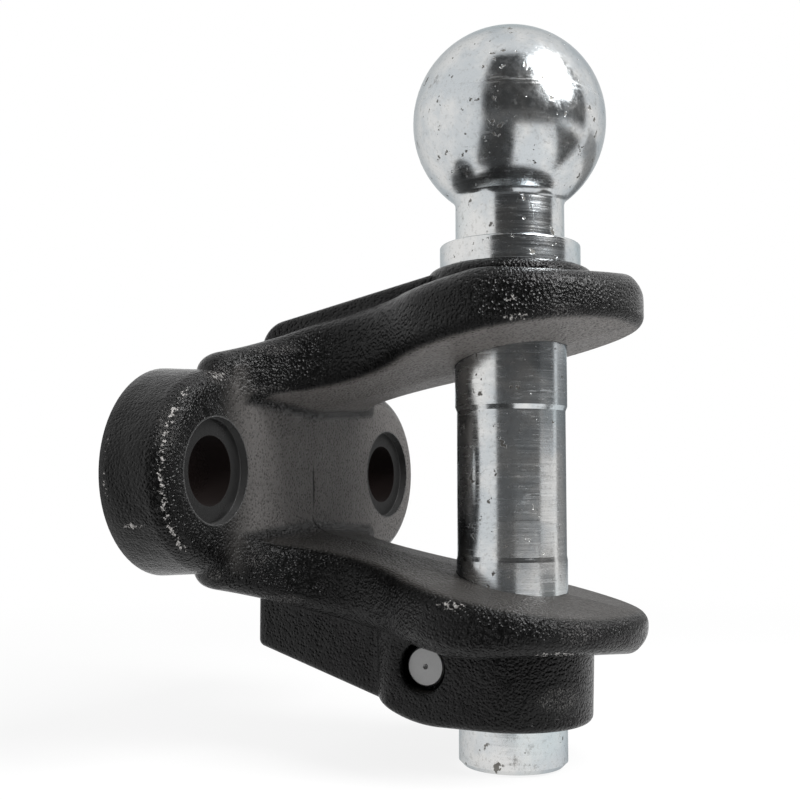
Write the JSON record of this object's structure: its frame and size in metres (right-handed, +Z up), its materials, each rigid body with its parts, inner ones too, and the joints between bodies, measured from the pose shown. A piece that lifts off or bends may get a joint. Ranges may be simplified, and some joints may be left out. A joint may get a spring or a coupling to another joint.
{
  "type": "combination pin ball hitch",
  "caption": "Two-jaw forged tow hitch on a bolt-on oblong flange, with a lift-out ball pin across the jaws that a spring-loaded push plunger locks.",
  "frame": {"origin": "middle of the two-bolt pattern on the flange's flat mounting face", "axes": "+Z up along the pin towards the ball, +Y out of the mounting face towards the vehicle, jaws open to -Y"},
  "size_m": [0.134, 0.1107, 0.1884],
  "materials": {
    "forging": "satin black paint on a forged skin",
    "pin": "bright zinc plate on turned steel",
    "plunger": "matt turned steel",
    "spring": "spring steel",
    "dowel": "ground steel"
  },
  "bodies": {
    "hitch": {"jaw_body": "forging", "plunger_spring": "spring", "plunger_dowel": "dowel"},
    "pin": {"ball_pin": "pin"},
    "plunger": {"locking_plunger": "plunger"}
  },
  "joints": [
    {"name": "ball_pin_lift", "type": "slide", "parent": "hitch", "child": "pin", "axis": [0, 0, 1], "range_m": [0, 0.2]},
    {"name": "plunger_press", "type": "slide", "parent": "hitch", "child": "plunger", "axis": [1, 0, 0], "range_m": [0, 0.006], "stiffness_N_per_m": 1500, "springref_m": -0.004, "deforming": ["plunger_spring"]}
  ]
}
